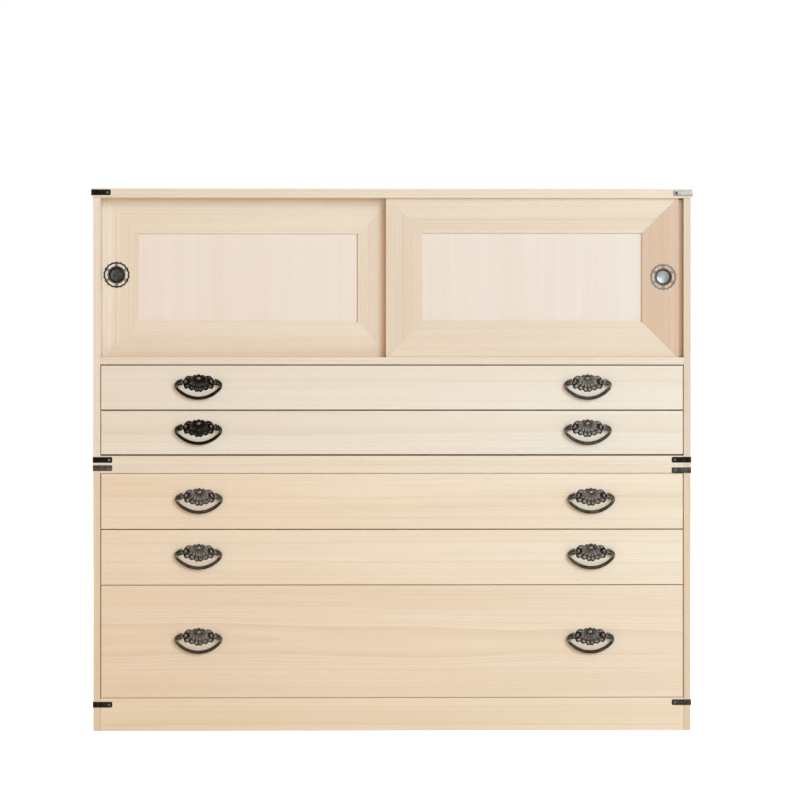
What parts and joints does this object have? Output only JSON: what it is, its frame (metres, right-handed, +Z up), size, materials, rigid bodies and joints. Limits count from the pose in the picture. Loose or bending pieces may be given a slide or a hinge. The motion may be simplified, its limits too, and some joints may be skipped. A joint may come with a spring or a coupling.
{
  "type": "isho clothing chest",
  "caption": "Two-piece paulownia clothing chest with two sliding panel doors above drawers with iron bail handles on scalloped plates.",
  "frame": {"origin": "on the floor, below the middle of the whole chest with its handles", "axes": "+X to the right along the front, +Y towards the back, +Z up; the drawers open towards -Y"},
  "size_m": [1.0642, 0.4404, 0.9568],
  "materials": {
    "paulownia_upper": "matte",
    "paulownia_lower": "matte",
    "black_iron": "satin",
    "antique_metal": "satin"
  },
  "bodies": {
    "lower_case": {"lower_top_board": "paulownia_lower", "lower_side_left": "paulownia_lower", "lower_side_right": "paulownia_lower", "lower_bottom_board": "paulownia_lower", "lower_back_panel": "paulownia_lower", "lower_shelf_1": "paulownia_lower", "lower_shelf_2": "paulownia_lower", "plinth": "paulownia_lower", "lower_corner_straps": "black_iron"},
    "upper_case": {"top_board": "paulownia_upper", "upper_side_left": "paulownia_upper", "upper_side_right": "paulownia_upper", "upper_bottom_board": "paulownia_upper", "upper_back_panel": "paulownia_upper", "door_sill": "paulownia_upper", "upper_shelf": "paulownia_upper", "upper_corner_straps": "black_iron"},
    "door_left": {"door_left_stiles": "paulownia_upper", "door_left_rails": "paulownia_upper", "door_left_panel": "paulownia_upper", "door_left_pull": "antique_metal"},
    "door_right": {"door_right_stiles": "paulownia_upper", "door_right_rails": "paulownia_upper", "door_right_panel": "paulownia_upper", "door_right_pull": "antique_metal"},
    "drawer_1": {"drawer_1_front": "paulownia_upper", "drawer_1_sides": "paulownia_upper", "drawer_1_back": "paulownia_upper", "drawer_1_bottom": "paulownia_upper", "drawer_1_handle_plates": "black_iron"},
    "drawer_2": {"drawer_2_front": "paulownia_upper", "drawer_2_sides": "paulownia_upper", "drawer_2_back": "paulownia_upper", "drawer_2_bottom": "paulownia_upper", "drawer_2_handle_plates": "black_iron"},
    "drawer_3": {"drawer_3_front": "paulownia_lower", "drawer_3_sides": "paulownia_lower", "drawer_3_back": "paulownia_lower", "drawer_3_bottom": "paulownia_lower", "drawer_3_handle_plates": "black_iron"},
    "drawer_4": {"drawer_4_front": "paulownia_lower", "drawer_4_sides": "paulownia_lower", "drawer_4_back": "paulownia_lower", "drawer_4_bottom": "paulownia_lower", "drawer_4_handle_plates": "black_iron"},
    "drawer_5": {"drawer_5_front": "paulownia_lower", "drawer_5_sides": "paulownia_lower", "drawer_5_back": "paulownia_lower", "drawer_5_bottom": "paulownia_lower", "drawer_5_handle_plates": "black_iron"},
    "drawer_1_bail_left": {"drawer_1_bail_left": "black_iron"},
    "drawer_1_bail_right": {"drawer_1_bail_right": "black_iron"},
    "drawer_2_bail_left": {"drawer_2_bail_left": "black_iron"},
    "drawer_2_bail_right": {"drawer_2_bail_right": "black_iron"},
    "drawer_3_bail_left": {"drawer_3_bail_left": "black_iron"},
    "drawer_3_bail_right": {"drawer_3_bail_right": "black_iron"},
    "drawer_4_bail_left": {"drawer_4_bail_left": "black_iron"},
    "drawer_4_bail_right": {"drawer_4_bail_right": "black_iron"},
    "drawer_5_bail_left": {"drawer_5_bail_left": "black_iron"},
    "drawer_5_bail_right": {"drawer_5_bail_right": "black_iron"}
  },
  "joints": [
    {"name": "upper_case_lift", "type": "slide", "parent": "lower_case", "child": "upper_case", "axis": [0, 0, 1], "range_m": [0, 0.04]},
    {"name": "door_left_slide", "type": "slide", "parent": "upper_case", "child": "door_left", "axis": [1, 0, 0], "range_m": [0, 0.5107]},
    {"name": "door_right_slide", "type": "slide", "parent": "upper_case", "child": "door_right", "axis": [-1, 0, 0], "range_m": [-0.0075, 0.5032]},
    {"name": "drawer_1_slide", "type": "slide", "parent": "upper_case", "child": "drawer_1", "axis": [0, -1, 0], "range_m": [0, 0.33]},
    {"name": "drawer_2_slide", "type": "slide", "parent": "upper_case", "child": "drawer_2", "axis": [0, -1, 0], "range_m": [0, 0.33]},
    {"name": "drawer_3_slide", "type": "slide", "parent": "lower_case", "child": "drawer_3", "axis": [0, -1, 0], "range_m": [0, 0.33]},
    {"name": "drawer_4_slide", "type": "slide", "parent": "lower_case", "child": "drawer_4", "axis": [0, -1, 0], "range_m": [0, 0.33]},
    {"name": "drawer_5_slide", "type": "slide", "parent": "lower_case", "child": "drawer_5", "axis": [0, -1, 0], "range_m": [0, 0.33]},
    {"name": "drawer_1_bail_left_swing", "type": "hinge", "parent": "drawer_1", "child": "drawer_1_bail_left", "pos_m": [-0.3417, -0.21695, 0.6173], "axis": [-1, 0, 0], "range_deg": [-5, 170]},
    {"name": "drawer_1_bail_right_swing", "type": "hinge", "parent": "drawer_1", "child": "drawer_1_bail_right", "pos_m": [0.345, -0.21695, 0.6173], "axis": [-1, 0, 0], "range_deg": [-5, 170]},
    {"name": "drawer_2_bail_left_swing", "type": "hinge", "parent": "drawer_2", "child": "drawer_2_bail_left", "pos_m": [-0.3417, -0.21695, 0.53775], "axis": [-1, 0, 0], "range_deg": [-5, 170]},
    {"name": "drawer_2_bail_right_swing", "type": "hinge", "parent": "drawer_2", "child": "drawer_2_bail_right", "pos_m": [0.345, -0.21695, 0.53775], "axis": [-1, 0, 0], "range_deg": [-5, 170]},
    {"name": "drawer_3_bail_left_swing", "type": "hinge", "parent": "drawer_3", "child": "drawer_3_bail_left", "pos_m": [-0.3408, -0.21695, 0.4164], "axis": [-1, 0, 0], "range_deg": [-5, 170]},
    {"name": "drawer_3_bail_right_swing", "type": "hinge", "parent": "drawer_3", "child": "drawer_3_bail_right", "pos_m": [0.351, -0.21695, 0.4164], "axis": [-1, 0, 0], "range_deg": [-5, 170]},
    {"name": "drawer_4_bail_left_swing", "type": "hinge", "parent": "drawer_4", "child": "drawer_4_bail_left", "pos_m": [-0.3417, -0.21695, 0.3181], "axis": [-1, 0, 0], "range_deg": [-5, 170]},
    {"name": "drawer_4_bail_right_swing", "type": "hinge", "parent": "drawer_4", "child": "drawer_4_bail_right", "pos_m": [0.351, -0.21695, 0.3181], "axis": [-1, 0, 0], "range_deg": [-5, 170]},
    {"name": "drawer_5_bail_left_swing", "type": "hinge", "parent": "drawer_5", "child": "drawer_5_bail_left", "pos_m": [-0.3417, -0.21695, 0.1697], "axis": [-1, 0, 0], "range_deg": [-5, 170]},
    {"name": "drawer_5_bail_right_swing", "type": "hinge", "parent": "drawer_5", "child": "drawer_5_bail_right", "pos_m": [0.3496, -0.21695, 0.1697], "axis": [-1, 0, 0], "range_deg": [-5, 170]}
  ]
}
